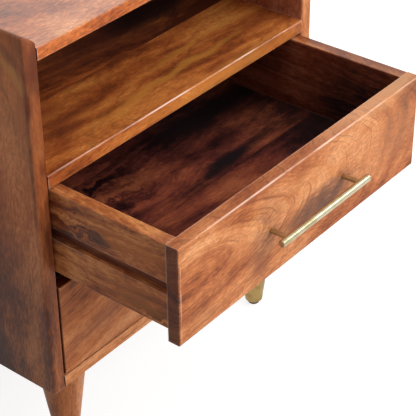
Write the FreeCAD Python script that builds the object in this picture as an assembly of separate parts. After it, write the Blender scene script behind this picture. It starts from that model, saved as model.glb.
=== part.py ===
import FreeCAD, Part
import os
from FreeCAD import Vector

# A wooden bedside cabinet: an open bay over two inset drawers, on four turned legs.
# Millimetres. The front faces -Y, +X is to the right of someone who looks at the front,
# the floor is Z = 0. The upper drawer stands open, as it is seen most often in use.
# The origin lies on the floor under the middle of the outline, open drawer included.

# Cabinet
cabinet_width = 460.0
cabinet_depth = 360.0
side_thickness = 18.0
top_thickness = 14.0
shelf_thickness = 16.0
bottom_thickness = 14.0
back_thickness = 8.0
bay_height = 126.0
panel_arris = 1.5

# The sides stand above the top as lips, whose upper faces slope down and crown slightly inward
side_outer_arris = 3.0
side_inner_arris = 1.5
side_foot_arris = 1.0
lip_outer_height = 18.0
lip_inner_height = 5.0
lip_crown = 1.3
lip_arris = 2.0

# Housings that hold the level boards in the side panels
housing_depth = 6.0
housing_setback = 14.0

# Legs
leg_length = 142.0
leg_inset_side = 52.0
leg_inset_front = 40.5
leg_top_radius = 29.0
cap_top_radius = 16.2
cap_tip_radius = 11.0
cap_tip_chamfer = 3.0
cap_height = 44.0
cap_floor = 2.0
cap_wall = 1.2
glide_height = 4.0
glide_radius = 7.6
glide_chamfer = 1.5
leg_bolt_radius = 4.0
leg_bolt_in_leg = 40.0
leg_bolt_in_bottom = 13.0

# Drawers
drawer_gap = 2.0
drawer_gap_between = 5.0
drawer_front_height = 115.5
drawer_front_thickness = 15.0
drawer_front_arris = 2.0
drawer_side_thickness = 16.0
drawer_side_rise = 16.0
drawer_back_thickness = 12.0
drawer_back_drop = 8.0
drawer_bottom_thickness = 5.0
drawer_bottom_lift = 8.0
drawer_bottom_groove = 5.0
drawer_bottom_play = 0.3
drawer_back_gap = 10.0
drawer_opening = 162.0
tongue_thickness = 6.0
tongue_length = 6.0
tongue_margin = 8.0

# Runners, let into the side panels, which the grooves in the drawer sides slide on
runner_height = 13.6
runner_let_in = 5.0
runner_rear_gap = 32.0
runner_reach = 5.0
runner_play = 0.3
runner_groove_depth = 6.0
runner_groove_lift = 40.6
runner_end_chamfer = 2.0

# Handles
handle_centres = 128.0
handle_bar_length = 156.0
handle_bar_radius = 4.0
handle_post_radius = 3.0
handle_standoff = 23.0
handle_bar_chamfer = 0.5
handle_screw_radius = 2.0
handle_screw_bite = 10.0
handle_screw_play = 0.25
handle_screw_head_radius = 4.0
handle_screw_head_height = 2.4

# Pins that hold the back panel to the sides
pin_radius = 1.2
pin_length = 24.0
pin_inset = 45.0
pins_in_each_side = 3

# Places worked out from the sizes above
half_width = cabinet_width / 2
inner_half = half_width - side_thickness
handle_reach = handle_standoff + handle_bar_radius
front_y = (drawer_opening + handle_reach - cabinet_depth) / 2
rear_y = front_y + cabinet_depth
back_front_y = rear_y - back_thickness
bottom_z = leg_length
drawer_floor_z = bottom_z + bottom_thickness
lower_front_z = drawer_floor_z + drawer_gap
upper_front_z = lower_front_z + drawer_front_height + drawer_gap_between
shelf_z = upper_front_z + drawer_front_height + drawer_gap
top_z = shelf_z + shelf_thickness + bay_height
top_surface_z = top_z + top_thickness
drawer_half = inner_half - drawer_gap
drawer_length = cabinet_depth - back_thickness - drawer_back_gap
runner_front_y = front_y + drawer_front_thickness + runner_play
runner_rear_y = back_front_y - runner_rear_gap
runner_groove_height = runner_height + 2 * runner_play
leg_x = half_width - leg_inset_side
leg_places = {
    "front_left": Vector(-leg_x, front_y + leg_inset_front, 0),
    "front_right": Vector(leg_x, front_y + leg_inset_front, 0),
    "back_left": Vector(-leg_x, rear_y - leg_inset_front, 0),
    "back_right": Vector(leg_x, rear_y - leg_inset_front, 0),
}
handle_places = (-handle_centres / 2, handle_centres / 2)
sides = {"left": -1, "right": 1}
tiny = 0.01


def block(x_span, y_span, z_span):
    """A board between two places on each axis, given in either order."""
    low = Vector(min(x_span), min(y_span), min(z_span))
    high = Vector(max(x_span), max(y_span), max(z_span))
    size = high - low
    return Part.makeBox(size.x, size.y, size.z, low)


def soften(board, radius, wanted):
    """Round the edges whose middle passes the test."""
    edges = [edge for edge in board.Edges if wanted(edge.CenterOfMass)]
    return board.makeFillet(radius, edges)


def rod(radius, start, end):
    """A round bar from one point to another."""
    way = end - start
    return Part.makeCylinder(radius, way.Length, start, way)


def even_places(start, end, count):
    """Places spread evenly from start to end, both included."""
    return [start + (end - start) * step / (count - 1) for step in range(count)]


def turned(outline):
    """A solid of revolution about the Z axis from a closed outline in the XZ plane."""
    return Part.Face(Part.Wire(outline)).revolve(Vector(0, 0, 0), Vector(0, 0, 1), 360)


def straight(points):
    """Straight edges from each point to the next."""
    return [Part.makeLine(first, second) for first, second in zip(points, points[1:])]


# Cabinet boards

def housing(side, z_low, thickness, y_end):
    """The end of a level board that sits in a side panel, stopped short of the front."""
    x_span = (side * inner_half, side * (inner_half + housing_depth))
    return block(x_span, (front_y + housing_setback, y_end), (z_low, z_low + thickness))


level_boards = {
    "top_panel": (top_z, top_thickness, rear_y),
    "shelf_panel": (shelf_z, shelf_thickness, back_front_y),
    "bottom_panel": (bottom_z, bottom_thickness, back_front_y),
}


def level_board(z_low, thickness, y_end):
    z_span = (z_low, z_low + thickness)
    board = block((-inner_half, inner_half), (front_y, y_end), z_span)

    def is_front_edge(middle):
        return middle.y < front_y + tiny and abs(middle.x) < tiny

    board = soften(board, panel_arris, is_front_edge)
    ends = [housing(side, z_low, thickness, y_end) for side in sides.values()]
    return board.fuse(ends).removeSplitter()


def back_board():
    half = inner_half + housing_depth
    return block((-half, half), (back_front_y, rear_y), (bottom_z, top_z))


def side_outline(side):
    """A side panel's end as seen from the front, with its sloping, crowned upper edge."""
    outer_x = side * half_width
    inner_x = side * inner_half
    outer_top = Vector(outer_x, front_y, top_surface_z + lip_outer_height)
    inner_top = Vector(inner_x, front_y, top_surface_z + lip_inner_height)
    crown = (outer_top + inner_top) / 2 + Vector(0, 0, lip_crown)
    walls = straight([
        inner_top,
        Vector(inner_x, front_y, bottom_z),
        Vector(outer_x, front_y, bottom_z),
        outer_top,
    ])
    return Part.Face(Part.Wire([*walls, Part.Arc(outer_top, crown, inner_top).toShape()]))


def inner_arris(side):
    """What is planed off the inner front edge of a side panel."""
    corner = Vector(side * inner_half, front_y, bottom_z)
    outline = straight([
        corner,
        corner + Vector(side * side_inner_arris, 0, 0),
        corner + Vector(0, side_inner_arris, 0),
        corner,
    ])
    height = top_surface_z + lip_outer_height - bottom_z
    return Part.Face(Part.Wire(outline)).extrude(Vector(0, 0, height))


def side_board(side):
    board = side_outline(side).extrude(Vector(0, cabinet_depth, 0))

    def is_lip_edge(middle):
        return middle.z > top_surface_z and front_y + tiny < middle.y < rear_y - tiny

    def is_outer_front_edge(middle):
        clear_of_inside = abs(middle.x) > inner_half + tiny
        return middle.y < front_y + tiny and clear_of_inside and middle.z > bottom_z + tiny

    def is_foot_edge(middle):
        clear_of_inside = abs(middle.x) > inner_half + tiny
        return middle.z < bottom_z + tiny and clear_of_inside and middle.y < rear_y - tiny

    board = soften(board, lip_arris, is_lip_edge)
    board = soften(board, side_outer_arris, is_outer_front_edge)
    board = soften(board, side_foot_arris, is_foot_edge)
    grooves = [housing(side, *place) for place in level_boards.values()]
    return board.cut([inner_arris(side), *grooves, back_board()])


# Runners and the pins of the back panel

def runner(side, front_z):
    z_low = front_z + drawer_side_rise + runner_groove_lift + runner_play
    nose_x = side * (drawer_half - runner_reach)
    x_span = (side * (inner_half + runner_let_in), nose_x)
    bar = block(x_span, (runner_front_y, runner_rear_y), (z_low, z_low + runner_height))
    nose = [edge for edge in bar.Edges
            if edge.CenterOfMass.y < runner_front_y + tiny
            and abs(edge.CenterOfMass.x - nose_x) < tiny]
    return bar.makeChamfer(runner_end_chamfer, nose)


def pins_of_back():
    side_x = inner_half + housing_depth / 2
    heights = even_places(bottom_z + pin_inset, top_z - pin_inset, pins_in_each_side)
    heads = [Vector(side * side_x, rear_y, z) for side in sides.values() for z in heights]
    return [rod(pin_radius, head, head - Vector(0, pin_length, 0)) for head in heads]


# Legs, turned about the Z axis, each with a brass cap on a tenon and a glide under the cap

cap_low_z = glide_height
cap_high_z = glide_height + cap_height
tenon_low_z = cap_low_z + cap_floor
tenon_radius = cap_tip_radius - cap_wall - cap_tip_chamfer / 2


def leg_wood():
    """Tapered leg with a straight tenon for the cap."""
    return turned(straight([
        Vector(0, 0, tenon_low_z),
        Vector(tenon_radius, 0, tenon_low_z),
        Vector(tenon_radius, 0, cap_high_z),
        Vector(cap_top_radius, 0, cap_high_z),
        Vector(leg_top_radius, 0, leg_length),
        Vector(0, 0, leg_length),
        Vector(0, 0, tenon_low_z),
    ]))


def leg_cap():
    """Tapered brass cap with a straight bore, closed and chamfered below."""
    cap = turned(straight([
        Vector(0, 0, cap_low_z),
        Vector(cap_tip_radius, 0, cap_low_z),
        Vector(cap_top_radius, 0, cap_high_z),
        Vector(tenon_radius, 0, cap_high_z),
        Vector(tenon_radius, 0, tenon_low_z),
        Vector(0, 0, tenon_low_z),
        Vector(0, 0, cap_low_z),
    ]))
    rim = [edge for edge in cap.Edges if edge.CenterOfMass.z < cap_low_z + tiny]
    return cap.makeChamfer(cap_tip_chamfer, rim)


def leg_glide():
    disc = Part.makeCylinder(glide_radius, glide_height)
    return disc.makeChamfer(glide_chamfer, [edge for edge in disc.Edges if edge.CenterOfMass.z < tiny])


def leg_bolt():
    low = Vector(0, 0, leg_length - leg_bolt_in_leg)
    return rod(leg_bolt_radius, low, Vector(0, 0, leg_length + leg_bolt_in_bottom))


def moved(shape, place):
    copy = shape.copy()
    copy.translate(place)
    return copy


# Drawers, built closed and then drawn out

def handle(z_mid):
    """Round bar on two posts, bored from behind for the screws."""
    axis_y = front_y - handle_standoff
    half = handle_bar_length / 2
    bar = rod(handle_bar_radius, Vector(-half, axis_y, z_mid), Vector(half, axis_y, z_mid))
    rims = [edge for edge in bar.Edges if abs(edge.CenterOfMass.x) > half - tiny]
    bar = bar.makeChamfer(handle_bar_chamfer, rims)
    posts = [rod(handle_post_radius, Vector(x, front_y, z_mid), Vector(x, axis_y, z_mid))
             for x in handle_places]
    return bar.fuse(posts)


def handle_screw(x, z_mid):
    inner_y = front_y + drawer_front_thickness
    tip_y = front_y - handle_screw_bite
    shank = rod(handle_screw_radius, Vector(x, inner_y, z_mid), Vector(x, tip_y, z_mid))
    head_end = Vector(x, inner_y + handle_screw_head_height, z_mid)
    return shank.fuse(rod(handle_screw_head_radius, Vector(x, inner_y, z_mid), head_end))


def drawer_front(front_z, z_mid):
    y_span = (front_y, front_y + drawer_front_thickness)
    z_span = (front_z, front_z + drawer_front_height)
    board = block((-drawer_half, drawer_half), y_span, z_span)

    board = soften(board, drawer_front_arris, lambda middle: middle.y < front_y + tiny)
    radius = handle_screw_radius + handle_screw_play
    holes = [rod(radius, Vector(x, y_span[0], z_mid), Vector(x, y_span[1], z_mid))
             for x in handle_places]
    return board.cut(holes)


def build_drawer(front_z, opened):
    """Every piece of one drawer, by the last part of its name."""
    z_mid = front_z + drawer_front_height / 2
    box_z = front_z + drawer_side_rise
    box_top_z = front_z + drawer_front_height
    box_front_y = front_y + drawer_front_thickness
    box_rear_y = front_y + drawer_length
    inside_half = drawer_half - drawer_side_thickness
    floor_z = box_z + drawer_bottom_lift
    floor_top_z = floor_z + drawer_bottom_thickness
    back_y = box_rear_y - drawer_back_thickness
    back_top_z = box_top_z - drawer_back_drop

    groove_half = inside_half + drawer_bottom_groove
    groove_front_y = box_front_y - drawer_bottom_groove
    floor_span = (floor_z, floor_top_z)
    bottom_slot = block((-groove_half, groove_half), (groove_front_y, box_rear_y), floor_span)
    bottom_half = groove_half - drawer_bottom_play
    bottom_front_y = groove_front_y + drawer_bottom_play
    bottom = block((-bottom_half, bottom_half), (bottom_front_y, box_rear_y), floor_span)
    back_half = inside_half + tongue_length
    back = block((-back_half, back_half), (back_y, box_rear_y), (floor_top_z, back_top_z))

    side_mid = drawer_half - drawer_side_thickness / 2
    groove_z = box_z + runner_groove_lift
    groove_span = (groove_z, groove_z + runner_groove_height)
    box_mid_y = (box_front_y + box_rear_y) / 2

    def is_upper_edge(middle):
        return middle.z > box_top_z - tiny and abs(middle.y - box_mid_y) < tiny

    side_boards = {}
    tongues = []
    for name, side in sides.items():
        x_span = (side * inside_half, side * drawer_half)
        board = block(x_span, (box_front_y, box_rear_y), (box_z, box_top_z))
        board = soften(board, panel_arris, is_upper_edge)
        tongue_x = (side * side_mid - tongue_thickness / 2, side * side_mid + tongue_thickness / 2)
        tongue_z = (floor_top_z + tongue_margin, box_top_z - tongue_margin)
        tongue = block(tongue_x, (box_front_y - tongue_length, box_front_y), tongue_z)
        tongues.append(tongue)
        groove_x = (side * (drawer_half - runner_groove_depth), side * (drawer_half + tiny))
        runner_groove = block(groove_x, (box_front_y, box_rear_y), groove_span)
        side_boards[name] = board.cut([runner_groove, bottom_slot, back]).fuse(tongue)

    screws = [handle_screw(x, z_mid) for x in handle_places]
    pieces = {
        "front": drawer_front(front_z, z_mid).cut([bottom_slot, *tongues]),
        "side_left": side_boards["left"],
        "side_right": side_boards["right"],
        "back": back,
        "bottom": bottom,
        "handle": handle(z_mid).cut(screws),
        "handle_screws": Part.makeCompound(screws),
    }
    return {name: moved(piece, Vector(0, -opened, 0)) for name, piece in pieces.items()}


def at_each_leg(shape):
    return [moved(shape, place) for place in leg_places.values()]


def build_cabinet():
    nodes = {}
    pins = pins_of_back()
    for name, side in sides.items():
        runners = {"upper": runner(side, upper_front_z), "lower": runner(side, lower_front_z)}
        for level, bar in runners.items():
            nodes[f"runner_{level}_{name}"] = bar
        nodes[f"side_panel_{name}"] = side_board(side).cut([*runners.values(), *pins])

    bolts = at_each_leg(leg_bolt())
    for name, place in level_boards.items():
        nodes[name] = level_board(*place)
    nodes["bottom_panel"] = nodes["bottom_panel"].cut(bolts)
    nodes["back_panel"] = back_board().cut(pins)
    nodes["back_pins"] = Part.makeCompound(pins)

    wood = leg_wood().cut(leg_bolt())
    for name, place in leg_places.items():
        nodes[f"leg_{name}"] = moved(wood, place)
    nodes["leg_caps"] = Part.makeCompound(at_each_leg(leg_cap()))
    nodes["leg_glides"] = Part.makeCompound(at_each_leg(leg_glide()))
    nodes["leg_bolts"] = Part.makeCompound(bolts)
    return nodes


os.makedirs("parts", exist_ok=True)
nodes = build_cabinet()
for level, front_z, opened in (("upper", upper_front_z, drawer_opening), ("lower", lower_front_z, 0.0)):
    for name, piece in build_drawer(front_z, opened).items():
        nodes[f"{level}_drawer_{name}"] = piece
for name, shape in nodes.items():
    shape.exportStep(f"parts/{name}.step")
print(len(nodes), "pieces written")
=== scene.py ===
import math
import bpy
from mathutils import Matrix, Vector


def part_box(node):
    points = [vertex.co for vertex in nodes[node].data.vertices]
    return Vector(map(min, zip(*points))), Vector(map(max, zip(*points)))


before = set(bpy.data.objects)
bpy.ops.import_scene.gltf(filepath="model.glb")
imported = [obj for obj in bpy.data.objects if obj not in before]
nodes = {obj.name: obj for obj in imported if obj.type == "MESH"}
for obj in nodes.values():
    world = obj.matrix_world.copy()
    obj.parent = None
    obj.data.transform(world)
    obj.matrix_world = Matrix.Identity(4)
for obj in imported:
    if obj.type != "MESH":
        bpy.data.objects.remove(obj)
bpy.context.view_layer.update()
print("frame loaded, nodes:", len(nodes))

camera = {
    "place": (-1.0193, -0.9414, 1.1632),
    "azimuth": -50.915,  # degrees round from the front, towards the left side
    "elevation": 34.130,
    "roll": -0.680,
    "lens": 123.38,
    "sensor": 36.0,
    "clip": (0.05, 50.0),
}


def addCamera():
    turn = math.radians(camera["azimuth"])
    lift = math.radians(camera["elevation"])
    back = Vector((math.sin(turn) * math.cos(lift), -math.cos(turn) * math.cos(lift), math.sin(lift)))
    level = Vector((0, 0, 1)).cross(back).normalized()
    axes = Matrix((level, back.cross(level), back)).transposed().to_4x4()
    data = bpy.data.cameras.new("studioCamera")
    data.lens = camera["lens"]
    data.sensor_width = camera["sensor"]
    data.sensor_fit = "HORIZONTAL"
    data.clip_start, data.clip_end = camera["clip"]
    eye = bpy.data.objects.new("studioCamera", data)
    roll = Matrix.Rotation(math.radians(camera["roll"]), 4, "Z")
    eye.matrix_world = Matrix.Translation(camera["place"]) @ axes @ roll
    bpy.context.scene.collection.objects.link(eye)
    bpy.context.scene.camera = eye


addCamera()
print("camera placed")


# Helpers for node trees

def addNode(tree, kind, inputs=None, **settings):
    node = tree.nodes.new(kind)
    for key, value in settings.items():
        setattr(node, key, value)
    for key, value in (inputs or {}).items():
        if isinstance(value, bpy.types.NodeSocket):
            tree.links.new(value, node.inputs[key])
        else:
            node.inputs[key].default_value = value
    return node


def newMaterial(name):
    material = bpy.data.materials.new(name)
    material.use_nodes = True
    tree = material.node_tree
    tree.nodes.clear()
    surface = addNode(tree, "ShaderNodeBsdfPrincipled")
    addNode(tree, "ShaderNodeOutputMaterial", {"Surface": surface.outputs["BSDF"]})
    return material, tree, surface


def dress(node, material):
    mesh = nodes[node].data
    mesh.materials.clear()
    mesh.materials.append(material)


def calc(tree, operation, *values):
    return addNode(tree, "ShaderNodeMath", dict(enumerate(values)), operation=operation).outputs[0]


def vectorCalc(tree, operation, *values, output="Vector"):
    inputs = dict(enumerate(values))
    return addNode(tree, "ShaderNodeVectorMath", inputs, operation=operation).outputs[output]


def scaled(tree, vector, factor):
    inputs = {0: vector, "Scale": factor}
    return addNode(tree, "ShaderNodeVectorMath", inputs, operation="SCALE").outputs["Vector"]


def spread(tree, value, low, high, newLow=0.0, newHigh=1.0, curve="SMOOTHSTEP"):
    node = addNode(tree, "ShaderNodeMapRange", {
        "Value": value, "From Min": low, "From Max": high, "To Min": newLow, "To Max": newHigh},
        interpolation_type=curve)
    return node.outputs["Result"]


def placed(tree, vector, scale=(1, 1, 1), turn=(0, 0, 0), shift=(0, 0, 0)):
    return addNode(tree, "ShaderNodeMapping", {
        "Vector": vector, "Scale": scale, "Rotation": turn, "Location": shift}).outputs["Vector"]


def noise(tree, vector, scale, detail, rough=0.5, output="Fac", fourth=None):
    inputs = {"Vector": placed(tree, vector, scale), "Scale": 1.0, "Detail": detail, "Roughness": rough}
    if fourth is None:
        return addNode(tree, "ShaderNodeTexNoise", inputs).outputs[output]
    return addNode(tree, "ShaderNodeTexNoise", {**inputs, "W": fourth}, noise_dimensions="4D").outputs[output]


def ramp(tree, value, stops):
    node = addNode(tree, "ShaderNodeValToRGB", {"Fac": value})
    elements = node.color_ramp.elements
    while len(elements) < len(stops):
        elements.new(1.0)
    for element, (place, colour) in zip(elements, stops):
        element.position = place
        element.color = colour
    return node.outputs["Color"]


def mixColour(tree, amount, first, second, blend="MIX"):
    node = addNode(tree, "ShaderNodeMix", data_type="RGBA", blend_type=blend)
    for name, value in (("Factor_Float", amount), ("A_Color", first), ("B_Color", second)):
        socket = next(s for s in node.inputs if s.identifier == name)
        if isinstance(value, bpy.types.NodeSocket):
            tree.links.new(value, socket)
        else:
            socket.default_value = value
    return next(s for s in node.outputs if s.identifier == "Result_Color")


def tinted(tree, amount, colour, tint):  # the colour, multiplied by the tint where amount is 1
    return mixColour(tree, amount, colour, mixColour(tree, 1.0, colour, tint, "MULTIPLY"))


def shade(red, green, blue):  # a colour as a screen shows it, 0 to 255
    def linear(part):
        part = part / 255
        return part / 12.92 if part <= 0.04045 else ((part + 0.055) / 1.055) ** 2.4
    return (linear(red), linear(green), linear(blue), 1.0)


# Wood: stained and lacquered, with a wandering, cloudy figure. The textures run in metres.
# A scale is how many details lie in a metre: along the grain, and in the two directions across it.

wood = {
    "rings": 115.0,  # in a metre across the tree
    "lines": 560.0,  # thin dark growth lines in a metre
    "treeMiddle": (0.05, 0.09),  # from a board to the middle of its tree, across the grain
    "boardStep": 0.37,  # from one board's place in the tree to the next one's, along the grain
    "plankStep": (3.1, 0.7, 0.9),  # from one plank's place to the next one's
    "patchStep": (1.7, 2.3, 0.9),  # keeps the dark patches apart from the other noises
    "bends": {  # noises that push the figure aside, each by up to half its depth in metres
        "trunk": {"scale": (3.2, 8.0, 8.0), "detail": 2.0, "depth": 0.050},
        "fine": {"scale": (26.0, 60.0, 60.0), "detail": 2.0, "depth": 0.005},
        "burl": {"scale": (52.0, 66.0, 66.0), "detail": 3.0, "depth": 0.024},
        "outline": {"scale": (14.0, 40.0, 40.0), "detail": 3.0, "depth": 0.035},  # of marks and burls
    },
    "layers": {  # noises that the figure and its wear are made of
        "rings": {"scale": (3.0, 8.0, 8.0), "detail": 4.0, "rough": 0.65},
        "lines": {"scale": (5.0, 14.0, 14.0), "detail": 2.0, "rough": 0.6},
        "clouds": {"scale": (8.0, 12.0, 12.0), "detail": 2.0, "rough": 0.45},
        "streaks": {"scale": (4.0, 45.0, 45.0), "detail": 3.0},
        "mottle": {"scale": (60.0, 90.0, 90.0), "detail": 4.0, "rough": 0.6},
        "fibres": {"scale": (90.0, 600.0, 600.0), "detail": 2.0, "rough": 0.6},
        "pores": {"scale": (110.0, 1300.0, 1300.0), "detail": 1.0, "rough": 0.4},
        "flecks": {"scale": (160.0, 480.0, 480.0), "detail": 2.0, "rough": 0.6},
        "patches": {"scale": (7.0, 16.0, 16.0), "detail": 3.0},
        "worn": {"scale": (30.0, 60.0, 60.0), "detail": 3.0},
        "lineBreakup": {"scale": (16.0, 60.0, 60.0), "detail": 3.0},
    },
    "ranges": {  # what each value is spread from, and for some also to
        "figure": (0.28, 0.72),
        "knots": (0.38, 0.62, 0.05, 0.95),
        "patches": (0.50, 0.72),
        "flecks": (0.3, 0.7),
        "lines": (0.46, 0.34),
        "pores": (0.60, 0.75, 0.0, 0.45),
        "endGrain": (0.6, 0.95),
        "tones": (0.5, 0.9),
        "spot": (1.0, 0.25),  # from the outline of an oval inwards
        "marks": (0.9, 0.3, 0.35, 1.0),  # light wood takes less of a mark
        "edge": (0.998, 0.96),
        "worn": (0.36, 0.58),
        "lineBreakup": (0.40, 0.60),
        "roughness": (0.3, 0.7, 0.50, 0.40),
    },
    "stops": (0.12, 0.38, 0.60, 0.88),  # tones at which the four colours of a stain lie
    "knotContrast": 0.55,
    "seamWidth": 0.0009,  # of the glued joints between planks
    "seamDark": 0.5,
    "poreTint": shade(150, 130, 120),
    "endGrainTint": shade(128, 106, 100),
    "endGrainDark": 0.85,
    # pale edges: stain worn off the arrises, and a painted highlight along them
    "wearAndHighlightWidth": 0.0019,
    "wearAndHighlightSamples": 6,
    "wearAndHighlightLeast": 0.1,
    "wearAndHighlightColour": shade(248, 216, 196),
    "fibreRelief": 0.5,
    "bump": 0.12,
    "bumpDepth": 0.0004,
    "gloss": 0.12,
    "lacquer": 0.03,
    "lacquerRoughness": 0.24,
    "ripple": 0.6,  # of the lacquer on shiny boards
    "rippleDepth": 0.0008,
    "rippleFlecks": 0.35,
}

stains = {  # darkest to lightest
    "chestnut": [shade(62, 32, 24), shade(136, 76, 44), shade(170, 102, 60), shade(204, 138, 90)],
    "amber": [shade(94, 46, 28), shade(166, 92, 50), shade(196, 122, 72), shade(224, 156, 104)],
    "honey": [shade(80, 38, 24), shade(164, 86, 42), shade(200, 120, 58), shade(230, 164, 84)],
    "cherry": [shade(30, 15, 17), shade(94, 45, 38), shade(136, 69, 50), shade(176, 100, 66)],
    "russet": [shade(56, 27, 20), shade(128, 66, 38), shade(166, 94, 52), shade(206, 134, 78)],
    "walnut": [shade(44, 28, 30), shade(112, 68, 58), shade(146, 92, 78), shade(176, 118, 100)],
}

grainTurns = {
    "x": (0.0, 0.0, 0.0),
    "y": (0.0, 0.0, math.radians(-90)),
    "z": (0.0, math.radians(90), 0.0),
}
grainWays = {"x": (1, 0, 0), "y": (0, 1, 0), "z": (0, 0, 1)}
left, front, top = (-1, 0, 0), (0, -1, 0), (0, 0, 1)  # directions that faces look in

plainBoard = {  # what a board has when its own entry doesn't say otherwise
    "grain": "x",
    "stain": "chestnut",
    "lean": (0.05, 0.07),  # how far the grain runs off the board's length, in radians
    "heart": None,  # a point that the rings close round; else the middle of the tree, far off
    "taper": 0.05,  # how quickly the rings close along the grain
    "rings": 0.26,  # shares of the figure
    "clouds": 0.32,
    "streaks": 0.14,
    "mottle": 0.12,
    "fibres": 0.12,
    "lines": 0.25,  # strength of the thin dark growth lines
    "speckle": 0.15,  # how far small flecks are lighter and darker
    "softness": 0.36,  # smaller values make the figure stand out more
    "lift": 0.0,  # moves the whole board towards its lightest colour
    "dark": 0.35,  # strength of the dark patches
    "wearAndHighlight": 0.38,
    "shine": 0.0,  # more lacquer
    "planks": None,  # axis across the planks, places of the glued joints, tone of each plank
    "marks": [],  # oval clouds of another colour, with a ragged outline; some are painted shade
    "burls": [],  # place and reach of each
    "thinLines": [],  # thin lines of another colour: pale wear and painted highlight along arrises, dark painted shade in the runner groove, a darker front edge
    "tones": [],  # direction of a face, colour that its wood is multiplied by; on faces inside the drawer and the bay, and on the lower drawer's top, this is painted shade
}


def mark(at, reach, strength, colour, turn=(0, 0, 0)):
    return {"at": at, "reach": reach, "strength": strength, "colour": colour, "turn": turn}


def thinLine(at, reach, least, most, colour):  # its strength wanders between least and most
    return {"at": at, "reach": reach, "least": least, "most": most, "colour": colour}


# near black: painted shade deep in the drawer and the bay, and along the runner groove
shadeBlack = shade(30, 22, 23)
plum = shade(104, 62, 48)
slate = shade(92, 66, 54)
gold = shade(206, 148, 84)
umber = shade(84, 46, 36)
syrup = shade(214, 150, 64)
paleWearAndHighlight = wood["wearAndHighlightColour"]

# Faces that carry marks, read from the frame
sideLow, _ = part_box("side_panel_left")
caseLeft, caseFront = sideLow[0], sideLow[1]
_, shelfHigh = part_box("shelf_panel")
shelfTop = shelfHigh[2]
drawerLow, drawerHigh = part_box("upper_drawer_front")
drawerLeft, drawerFront, drawerTop = drawerLow[0], drawerLow[1], drawerHigh[2]
_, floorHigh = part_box("upper_drawer_bottom")
drawerFloor = floorHigh[2]
rightSideLow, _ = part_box("upper_drawer_side_right")
drawerInnerRight = rightSideLow[0]

turnedLeg = {"grain": "z", "dark": 0.12, "softness": 0.5, "streaks": 0.2, "lift": 0.10}

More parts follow.
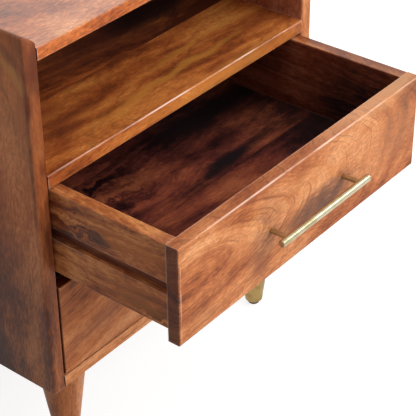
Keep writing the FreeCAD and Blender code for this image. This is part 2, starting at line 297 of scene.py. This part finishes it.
boards = {
    "side_panel_left": {
        "grain": "z", "lean": (0.03, 0.05), "dark": 0.2, "streaks": 0.22, "mottle": 0.08,
        "fibres": 0.2, "lines": 0.4, "softness": 0.44, "lift": 0.05,
        "planks": ("Y", (0.030, 0.155), (0.0, -0.06, 0.04)),
        "marks": [
            mark((caseLeft, -0.020, 0.180), (0.03, 0.24, 0.22), 1.0, shade(60, 38, 33)),
            mark((caseLeft, 0.020, 0.490), (0.03, 0.30, 0.13), 0.35, shade(196, 132, 90)),
            mark((caseLeft, -0.062, 0.535), (0.03, 0.05, 0.009), 0.6, gold, (0.75, 0, 0)),
            mark((caseLeft, -0.050, 0.553), (0.03, 0.05, 0.010), 0.6, umber, (0.60, 0, 0)),
        ],
        "thinLines": [  # the upper part of the front edge
            thinLine((caseLeft + 0.009, caseFront, 0.43), (0.04, 0.008, 0.25), 0.4, 0.9, shade(80, 35, 24)),
        ],
        "tones": [(front, shade(242, 216, 196)), (left, shade(255, 240, 230))],
    },
    "side_panel_right": {
        "grain": "z", "stain": "amber", "planks": ("Y", (0.030, 0.155), (0.0, 0.05, -0.04)),
        # painted shade on the inner face, inside the bay
        "tones": [(left, shade(226, 216, 250))],
    },
    "top_panel": {
        "stain": "amber", "speckle": 0.24, "shine": 0.26, "softness": 0.42, "streaks": 0.12,
        "fibres": 0.2, "lift": -0.04,
        "planks": ("Y", (0.022, 0.146), (0.0, -0.05, 0.05)),
        "tones": [(front, shade(255, 222, 178))],
    },
    "shelf_panel": {
        "stain": "honey", "lift": -0.09, "dark": 0.12, "streaks": 0.36, "clouds": 0.20, "rings": 0.20,
        "mottle": 0.08, "softness": 0.46, "wearAndHighlight": 0.3,
        "thinLines": [
            # pale line along the top front arris: wear and painted highlight
            thinLine((0.0, caseFront + 0.0005, shelfTop - 0.0004), (0.36, 0.0014, 0.0014), 0.1, 0.75, paleWearAndHighlight),
        ],
        "planks": ("Y", (0.0215, 0.132, 0.215), (0.03, -0.16, -0.05, -0.1)),
        "marks": [
            # darker towards the back, and near black at the back right, under the top: painted shade
            mark((0.04, 0.09, shelfTop), (0.22, 0.09, 0.03), 0.7, umber),
            mark((0.12, 0.070, shelfTop), (0.11, 0.05, 0.03), 0.9, shadeBlack),
            mark((-0.15, -0.02, shelfTop), (0.09, 0.05, 0.03), 0.45, shade(140, 76, 42), (0, 0, 0.12)),
            mark((0.02, -0.050, shelfTop), (0.19, 0.008, 0.03), 0.5, syrup, (0, 0, 0.03)),
            mark((0.10, -0.022, shelfTop), (0.14, 0.006, 0.03), 0.45, syrup, (0, 0, 0.06)),
            mark((0.08, caseFront, shelfTop - 0.009), (0.20, 0.012, 0.016), 0.6, shade(214, 138, 66)),
        ],
    },
    "bottom_panel": {"stain": "amber", "planks": ("Y", (0.022, 0.146), (0.0, -0.05, 0.05))},
    "back_panel": {"stain": "walnut", "planks": ("Z", (0.245, 0.352, 0.455), (0.0, -0.08, 0.04, -0.05))},
    "runner_upper_left": {"grain": "y"},
    "runner_upper_right": {"grain": "y"},
    "runner_lower_left": {"grain": "y"},
    "runner_lower_right": {"grain": "y"},
    "leg_front_left": turnedLeg,
    "leg_front_right": turnedLeg,
    "leg_back_left": turnedLeg,
    "leg_back_right": turnedLeg,
    "upper_drawer_front": {
        "stain": "amber", "heart": (-0.185, drawerFront + 0.0125, 0.352), "taper": 0.32, "lean": (0, 0),
        "dark": 0.12, "lines": 0.4, "rings": 0.24, "clouds": 0.34, "streaks": 0.04, "mottle": 0.07,
        "fibres": 0.13, "softness": 0.44, "wearAndHighlight": 0.3, "lift": 0.04,
        "thinLines": [
            # pale lines along the top and left arrises: wear and painted highlight
            thinLine((0.0, drawerFront + 0.0006, drawerTop - 0.0006), (0.34, 0.0015, 0.0015), 0.1, 0.6, paleWearAndHighlight),
            thinLine((drawerLeft + 0.0028, drawerFront + 0.0006, 0.336),
                (0.0012, 0.0012, 0.11), 0.1, 0.6, paleWearAndHighlight),
        ],
        "tones": [(top, shade(236, 226, 214))],
        "marks": [
            mark((-0.075, drawerFront, 0.330), (0.030, 0.03, 0.080), 0.6, plum, (0, 0.25, 0)),
            mark((0.025, drawerFront, 0.324), (0.100, 0.03, 0.022), 0.85, slate, (0, -0.08, 0)),
            mark((-0.170, drawerFront, 0.295), (0.040, 0.03, 0.020), 0.3, plum, (0, 0.3, 0)),
            mark((0.165, drawerFront, 0.345), (0.080, 0.03, 0.060), 0.22, shade(226, 160, 110)),
            mark((0.15, drawerFront + 0.0095, drawerTop), (0.16, 0.02, 0.020), 0.6, shade(216, 160, 110)),
        ],
    },
    "upper_drawer_side_left": {
        "grain": "y", "stain": "russet", "dark": 0.3, "softness": 0.27, "lift": 0.06, "wearAndHighlight": 0.2,
        "marks": [
            # darker next to the cabinet: painted shade
            mark((drawerLeft, -0.083, 0.335), (0.03, 0.035, 0.08), 0.6, shade(96, 42, 30)),
            mark((drawerLeft, -0.195, 0.312), (0.03, 0.06, 0.025), 0.5, shade(180, 110, 58)),
            mark((drawerLeft, -0.185, 0.372), (0.03, 0.07, 0.022), 0.6, shade(196, 116, 58), (0.1, 0, 0)),
            # near-black lines along the runner groove and down to it: painted shade
            mark((drawerLeft, -0.105, 0.345), (0.03, 0.06, 0.014), 0.9, shadeBlack),
            mark((drawerLeft, -0.150, 0.362), (0.03, 0.02, 0.012), 0.6, shadeBlack, (0.5, 0, 0)),
        ],
        "burls": [
            ((drawerLeft, -0.125, 0.366), (0.05, 0.075, 0.030)),
            ((drawerLeft, -0.215, 0.302), (0.05, 0.03, 0.025)),
        ],
        "thinLines": [  # the floor of the runner groove, darkened: painted shade
            thinLine((drawerLeft + 0.0065, -0.13, 0.3422), (0.004, 0.40, 0.016), 0.75, 0.95, shade(88, 40, 32)),
        ],
    },
    "upper_drawer_side_right": {
        # painted shade: the inner face darkened, near black towards the front and darker towards the back
        "grain": "y", "wearAndHighlight": 0.1, "tones": [(left, shade(196, 172, 196))],
        "marks": [
            mark((drawerInnerRight, -0.19, 0.335), (0.03, 0.11, 0.08), 1.0, shade(26, 24, 26)),
            mark((drawerInnerRight, -0.03, 0.360), (0.03, 0.06, 0.03), 0.6, shade(44, 26, 26)),
        ],
    },
    # painted shade on the face looking into the drawer
    "upper_drawer_back": {"stain": "cherry", "tones": [(front, shade(200, 200, 216))]},
    "upper_drawer_bottom": {
        "stain": "cherry", "dark": 0.45, "rings": 0.20, "clouds": 0.40, "softness": 0.38, "lift": -0.08,
        "wearAndHighlight": 0.1,
        "planks": ("Y", (-0.118, -0.006, 0.104), (0.02, -0.06, 0.02, -0.05)),
        "marks": [
            # painted shadow of the front board and the right side, and painted shade under the cabinet
            mark((0.0, -0.20, drawerFloor), (0.25, 0.06, 0.02), 0.7, shadeBlack),
            mark((-0.13, -0.19, drawerFloor), (0.11, 0.09, 0.02), 0.6, shade(64, 32, 27)),
            mark((0.07, -0.104, drawerFloor), (0.16, 0.018, 0.02), 1.0, shadeBlack, (0, 0, 0.06)),
            mark((0.11, -0.01, drawerFloor), (0.11, 0.07, 0.02), 0.95, shadeBlack, (0, 0, 0.2)),
            mark((0.19, -0.08, drawerFloor), (0.09, 0.14, 0.02), 0.95, shadeBlack),
            mark((-0.15, 0.01, drawerFloor), (0.09, 0.06, 0.02), 0.6, shadeBlack),
        ],
        "burls": [((-0.075, -0.045, drawerFloor), (0.075, 0.065, 0.03))],
    },
    "lower_drawer_front": {
        "stain": "amber", "lean": (0.14, 0.05), "dark": 0.2, "streaks": 0.16, "softness": 0.48,
        "lift": -0.04,
        # painted shade on the top face, under the upper drawer
        "tones": [(top, shade(150, 110, 100))],
        "marks": [mark((-0.13, caseFront, 0.20), (0.12, 0.03, 0.02), 0.45, plum, (0, -0.2, 0))],
    },
    "lower_drawer_side_left": {"grain": "y"},
    "lower_drawer_side_right": {"grain": "y"},
    "lower_drawer_back": {"stain": "cherry"},
    "lower_drawer_bottom": {"stain": "cherry", "planks": ("Y", (0.044, 0.156), (0.05, -0.1, 0.0))},
}


def layer(tree, vector, name, fourth=None):
    return noise(tree, vector, **wood["layers"][name], fourth=fourth)


def ranged(tree, value, name, *ends):
    return spread(tree, value, *wood["ranges"][name], *ends)


def push(tree, vector, name):  # a shift that wanders, from a colour noise
    bend = wood["bends"][name]
    colour = noise(tree, vector, bend["scale"], bend["detail"], output="Color")
    middle = vectorCalc(tree, "SUBTRACT", colour, (0.5, 0.5, 0.5))
    return vectorCalc(tree, "MULTIPLY", middle, [bend["depth"]] * 3)


def spot(tree, place, at, reach, turn=(0, 0, 0)):  # 1 in the middle of an oval, 0 outside it
    inputs = {"Vector": place, "Location": at, "Rotation": turn, "Scale": reach}
    oval = addNode(tree, "ShaderNodeMapping", inputs, vector_type="TEXTURE").outputs["Vector"]
    return ranged(tree, vectorCalc(tree, "LENGTH", oval, output="Value"), "spot")


def cutPlanks(tree, board, place, along):  # each plank has its own place in the tree and its own tone
    if not board["planks"]:
        return along, 0.0, 0.0
    axis, joints, tones = board["planks"]
    position = addNode(tree, "ShaderNodeSeparateXYZ", {"Vector": place}).outputs[axis]
    plank, plankTone, seam = 0.0, tones[0], 0.0
    for joint, before, after in zip(joints, tones, tones[1:]):
        past = calc(tree, "GREATER_THAN", position, joint)
        plank = calc(tree, "ADD", past, plank)
        plankTone = calc(tree, "MULTIPLY_ADD", past, after - before, plankTone)
        gap = calc(tree, "ABSOLUTE", calc(tree, "SUBTRACT", position, joint))
        seam = calc(tree, "MAXIMUM", spread(tree, gap, wood["seamWidth"], 0.0), seam)
    step = scaled(tree, wood["plankStep"], plank)
    return vectorCalc(tree, "ADD", along, step), plankTone, seam


def bendGrain(tree, board, along, burl):  # the trunk's own bends, and the tight curls of burls
    bend = vectorCalc(tree, "ADD", push(tree, along, "trunk"), push(tree, along, "fine"))
    if board["burls"]:
        bend = vectorCalc(tree, "ADD", bend, scaled(tree, push(tree, along, "burl"), burl))
    return bend


def figureOf(tree, board, place, along, bend, seed):
    wandering = vectorCalc(tree, "ADD", along, bend)
    if board["heart"]:
        fromHeart = vectorCalc(tree, "ADD", vectorCalc(tree, "SUBTRACT", place, board["heart"]), bend)
    else:
        fromHeart = placed(tree, wandering, shift=(-wood["boardStep"] * seed, 0, 0))
    tapered = vectorCalc(tree, "MULTIPLY", fromHeart, (board["taper"], 1.0, 1.0))
    across = vectorCalc(tree, "LENGTH", tapered, output="Value")
    plain = ("clouds", "streaks", "mottle", "fibres", "flecks")
    figure = {name: layer(tree, wandering, name) for name in plain}
    for name in ("rings", "lines"):
        figure[name] = layer(tree, wandering, name, calc(tree, "MULTIPLY", across, wood[name]))
    figure["patches"] = layer(tree, placed(tree, wandering, shift=wood["patchStep"]), "patches")
    figure["pores"] = ranged(tree, layer(tree, wandering, "pores"), "pores")
    return figure


def toneOf(tree, board, figure, plankTone, burl):  # from 0, the stain's darkest, to 1
    shares = {name: board[name] for name in ("rings", "clouds", "streaks", "mottle", "fibres")}
    whole = sum(shares.values())
    tone = calc(tree, "ADD", plankTone, board["lift"])
    for name, share in shares.items():
        value = ranged(tree, figure[name], "figure")
        tone = calc(tree, "ADD", calc(tree, "MULTIPLY", value, share / whole), tone)
    if board["burls"]:
        knots = calc(tree, "SUBTRACT", ranged(tree, figure["rings"], "knots"), tone)
        tone = calc(tree, "MULTIPLY_ADD", calc(tree, "MULTIPLY", burl, wood["knotContrast"]), knots, tone)
    return spread(tree, tone, 0.5 - board["softness"], 0.5 + board["softness"], curve="LINEAR")


def stainWood(tree, board, figure, tone, seam):
    stain = stains[board["stain"]]
    darkest = stain[0]
    colour = ramp(tree, tone, list(zip(wood["stops"], stain)))
    colour = mixColour(tree, ranged(tree, figure["patches"], "patches", 0.0, board["dark"]), colour, darkest)
    colour = mixColour(tree, calc(tree, "MULTIPLY", seam, wood["seamDark"]), colour, darkest)
    flecks = ranged(tree, figure["flecks"], "flecks", 1 - board["speckle"], 1 + board["speckle"])
    colour = scaled(tree, colour, flecks)
    colour = mixColour(tree, ranged(tree, figure["lines"], "lines", 0.0, board["lines"]), colour, darkest)
    return mixColour(tree, figure["pores"], colour, wood["poreTint"], "MULTIPLY")


def agreement(tree, first, second):  # 1 where two directions are the same, 0 where they're square
    return vectorCalc(tree, "DOT_PRODUCT", first, second, output="Value")


def toneFaces(tree, board, normal, colour):  # end grain soaks up more stain; faces looking in a board's listed directions take its tints, painted shade on some of them
    endOn = calc(tree, "ABSOLUTE", agreement(tree, normal, grainWays[board["grain"]]))
    endMask = ranged(tree, endOn, "endGrain", 0.0, wood["endGrainDark"])
    colour = tinted(tree, endMask, colour, wood["endGrainTint"])
    for way, tint in board["tones"]:
        colour = tinted(tree, ranged(tree, agreement(tree, normal, way), "tones"), colour, tint)
    return colour


def markWood(tree, board, ragged, tone, colour):
    for cloud in board["marks"]:
        inside = spot(tree, ragged, cloud["at"], cloud["reach"], cloud["turn"])
        inside = calc(tree, "MULTIPLY", inside, ranged(tree, tone, "marks"))
        colour = mixColour(tree, calc(tree, "MULTIPLY", inside, cloud["strength"]), colour, cloud["colour"])
    return colour


def wearAndHighlightEdges(tree, board, place, turned, colour):  # handled edges lose some stain, and the pale lines on the arrises are also painted highlight; the thin lines add pale wear and painted highlight, and dark painted shade in the runner groove
    rounded = addNode(tree, "ShaderNodeBevel", {"Radius": wood["wearAndHighlightWidth"]}, samples=wood["wearAndHighlightSamples"])
    flat = addNode(tree, "ShaderNodeNewGeometry")
    edge = ranged(tree, agreement(tree, rounded.outputs["Normal"], flat.outputs["Normal"]), "edge")
    uneven = ranged(tree, layer(tree, turned, "worn"), "worn", wood["wearAndHighlightLeast"], board["wearAndHighlight"])
    colour = mixColour(tree, calc(tree, "MULTIPLY", edge, uneven), colour, wood["wearAndHighlightColour"])
    for line in board["thinLines"]:
        uneven = ranged(tree, layer(tree, turned, "lineBreakup"), "lineBreakup", line["least"], line["most"])
        inside = spot(tree, place, line["at"], line["reach"])
        colour = mixColour(tree, calc(tree, "MULTIPLY", inside, uneven), colour, line["colour"])
    return colour


def lacquerWood(tree, surface, board, figure):
    fibres = calc(tree, "MULTIPLY", figure["fibres"], wood["fibreRelief"])
    relief = calc(tree, "SUBTRACT", fibres, figure["pores"])
    bump = addNode(tree, "ShaderNodeBump", {
        "Height": relief, "Strength": wood["bump"], "Distance": wood["bumpDepth"]})
    tree.links.new(bump.outputs["Normal"], surface.inputs["Normal"])
    tree.links.new(ranged(tree, figure["clouds"], "roughness"), surface.inputs["Roughness"])
    surface.inputs["Specular IOR Level"].default_value = wood["gloss"]
    surface.inputs["Coat Weight"].default_value = wood["lacquer"] + board["shine"]
    surface.inputs["Coat Roughness"].default_value = wood["lacquerRoughness"]
    if board["shine"]:
        waves = calc(tree, "MULTIPLY_ADD", figure["flecks"], wood["rippleFlecks"], figure["mottle"])
        ripple = addNode(tree, "ShaderNodeBump", {
            "Height": waves, "Strength": wood["ripple"], "Distance": wood["rippleDepth"]})
        tree.links.new(ripple.outputs["Normal"], surface.inputs["Coat Normal"])


def woodMaterial(name, board, seed):
    material, tree, surface = newMaterial(name)
    coordinates = addNode(tree, "ShaderNodeTexCoord").outputs
    place, normal = coordinates["Object"], coordinates["Normal"]
    turned = placed(tree, place, turn=grainTurns[board["grain"]])
    shift = (wood["boardStep"] * seed, *wood["treeMiddle"])
    along = placed(tree, turned, turn=(0.0, *board["lean"]), shift=shift)
    along, plankTone, seam = cutPlanks(tree, board, place, along)
    ragged, burl = None, 0.0
    if board["marks"] or board["burls"]:
        ragged = vectorCalc(tree, "ADD", place, push(tree, along, "outline"))
    for at, reach in board["burls"]:
        burl = calc(tree, "MAXIMUM", spot(tree, ragged, at, reach), burl)
    bend = bendGrain(tree, board, along, burl)
    figure = figureOf(tree, board, place, along, bend, seed)
    tone = toneOf(tree, board, figure, plankTone, burl)
    colour = stainWood(tree, board, figure, tone, seam)
    colour = toneFaces(tree, board, normal, colour)
    colour = markWood(tree, board, ragged, tone, colour)
    colour = wearAndHighlightEdges(tree, board, place, turned, colour)
    tree.links.new(colour, surface.inputs["Base Color"])
    lacquerWood(tree, surface, board, figure)
    return material


for seed, (node, choice) in enumerate(boards.items(), 1):
    dress(node, woodMaterial(node + "Wood", {**plainBoard, **choice}, seed))
print("wood made")


# Brass, steel and plastic

metals = {
    "handleBrass": {"colour": shade(192, 182, 152), "worn": shade(168, 156, 120), "rough": 0.28},
    "capBrass": {"colour": shade(168, 140, 88), "worn": shade(148, 120, 70), "rough": 0.36},
    "screwSteel": {"colour": shade(190, 190, 188), "worn": shade(150, 150, 148), "rough": 0.35},
}
metalFinish = {
    "haze": {"scale": (70.0, 70.0, 70.0), "detail": 4.0},
    "hazeColour": (0.40, 0.72),  # haze at which the worn colour begins, and at which it is full
    "hazeGloss": (0.3, 0.7),  # haze at which the metal is smoothest and roughest
    "smoother": 0.04,
    "rougher": 0.08,
    "brushing": {"scale": (900.0, 900.0, 900.0), "detail": 2.0},
    "brushedRoughness": 0.05,
    "bump": 0.02,
    "bumpDepth": 0.00005,
}
glide = {
    "colour": shade(58, 38, 30),
    "dust": shade(96, 70, 56),
    "grit": {"scale": (600.0, 600.0, 600.0), "detail": 3.0},
    "dusty": (0.35, 0.7, 0.0, 0.5),  # grit at which the dust begins and is thickest, share of dust there
    "rough": 0.6,
}


def metalMaterial(name):
    choice = metals[name]
    material, tree, surface = newMaterial(name)
    place = addNode(tree, "ShaderNodeTexCoord").outputs["Object"]
    haze = noise(tree, place, **metalFinish["haze"])
    brushed = noise(tree, place, **metalFinish["brushing"])
    worn = spread(tree, haze, *metalFinish["hazeColour"])
    tree.links.new(mixColour(tree, worn, choice["colour"], choice["worn"]), surface.inputs["Base Color"])
    surface.inputs["Metallic"].default_value = 1.0
    hazed = spread(tree, haze, *metalFinish["hazeGloss"],
                   choice["rough"] - metalFinish["smoother"], choice["rough"] + metalFinish["rougher"])
    roughness = calc(tree, "ADD", hazed, calc(tree, "MULTIPLY", brushed, metalFinish["brushedRoughness"]))
    tree.links.new(roughness, surface.inputs["Roughness"])
    bump = addNode(tree, "ShaderNodeBump", {
        "Height": brushed, "Strength": metalFinish["bump"], "Distance": metalFinish["bumpDepth"]})
    tree.links.new(bump.outputs["Normal"], surface.inputs["Normal"])
    return material


def glideMaterial():
    material, tree, surface = newMaterial("glidePlastic")
    place = addNode(tree, "ShaderNodeTexCoord").outputs["Object"]
    dusty = spread(tree, noise(tree, place, **glide["grit"]), *glide["dusty"])
    tree.links.new(mixColour(tree, dusty, glide["colour"], glide["dust"]), surface.inputs["Base Color"])
    surface.inputs["Roughness"].default_value = glide["rough"]
    return material


metalOf = {
    "upper_drawer_handle": "handleBrass",
    "lower_drawer_handle": "handleBrass",
    "leg_caps": "capBrass",
    "back_pins": "screwSteel",
    "leg_bolts": "screwSteel",
    "upper_drawer_handle_screws": "screwSteel",
    "lower_drawer_handle_screws": "screwSteel",
}
metalMaterials = {name: metalMaterial(name) for name in metals}
for node, name in metalOf.items():
    dress(node, metalMaterials[name])
dress("leg_glides", glideMaterial())
print("metal and plastic made")


# Floor, world and lamps

white = (1.0, 1.0, 1.0, 1.0)

studio = {
    "floor": shade(162, 162, 162),
    "floorRoughness": 0.9,
    "floorGlow": 0.80,  # seen by the camera and in reflections only
    "floorSize": 30.0,
    "world": 0.36,
    "aim": (0.0, 0.0, 0.3),
    "soft": ("keyLamp", "topLamp"),  # lamps that leave no gloss
    "lamps": {  # place, width, power
        "keyLamp": ((0.85, -2.65, 1.7), 1.8, 53.0),
        "fillLamp": ((-0.3, -2.7, 0.45), 1.2, 18.0),
        "sheenLamp": ((1.65, 1.35, 2.0), 1.5, 21.0),
        "topLamp": ((-0.3, -0.5, 3.0), 2.2, 22.0),
        "glintLamp": ((1.7, -1.42, 1.75), 0.7, 14.0),  # for the line of light along the handles
    },
}


def seenRays(tree):  # 1 for what the camera sees, straight, in a reflection or through glass
    ray = addNode(tree, "ShaderNodeLightPath").outputs
    return calc(tree, "MAXIMUM", calc(tree, "MAXIMUM", ray["Is Camera Ray"], ray["Is Glossy Ray"]),
                ray["Is Transmission Ray"])


def addFloor():
    half = studio["floorSize"] / 2
    mesh = bpy.data.meshes.new("floor")
    corners = [(-half, -half, 0), (half, -half, 0), (half, half, 0), (-half, half, 0)]
    mesh.from_pydata(corners, [], [(0, 1, 2, 3)])
    floor = bpy.data.objects.new("floor", mesh)
    bpy.context.scene.collection.objects.link(floor)
    material, tree, surface = newMaterial("paleFloor")
    surface.inputs["Base Color"].default_value = studio["floor"]
    surface.inputs["Roughness"].default_value = studio["floorRoughness"]
    surface.inputs["Specular IOR Level"].default_value = 0.0
    surface.inputs["Emission Color"].default_value = white
    glow = calc(tree, "MULTIPLY", seenRays(tree), studio["floorGlow"])
    tree.links.new(glow, surface.inputs["Emission Strength"])
    mesh.materials.append(material)


def addLamps():
    for name, (place, width, power) in studio["lamps"].items():
        data = bpy.data.lights.new(name, "AREA")
        data.size = width
        data.energy = power
        lamp = bpy.data.objects.new(name, data)
        lamp.location = place
        lamp.visible_glossy = name not in studio["soft"]
        lamp.rotation_euler = (Vector(studio["aim"]) - Vector(place)).to_track_quat("-Z", "Y").to_euler()
        bpy.context.scene.collection.objects.link(lamp)


def lightWorld():
    world = bpy.data.worlds.new("studioWorld")
    bpy.context.scene.world = world
    world.use_nodes = True
    tree = world.node_tree
    tree.nodes.clear()
    strength = calc(tree, "MAXIMUM", seenRays(tree), studio["world"])
    back = addNode(tree, "ShaderNodeBackground", {"Color": white, "Strength": strength})
    addNode(tree, "ShaderNodeOutputWorld", {"Surface": back.outputs["Background"]})


addFloor()
addLamps()
lightWorld()
bpy.context.scene.view_settings.view_transform = "Standard"
print("floor and light set")
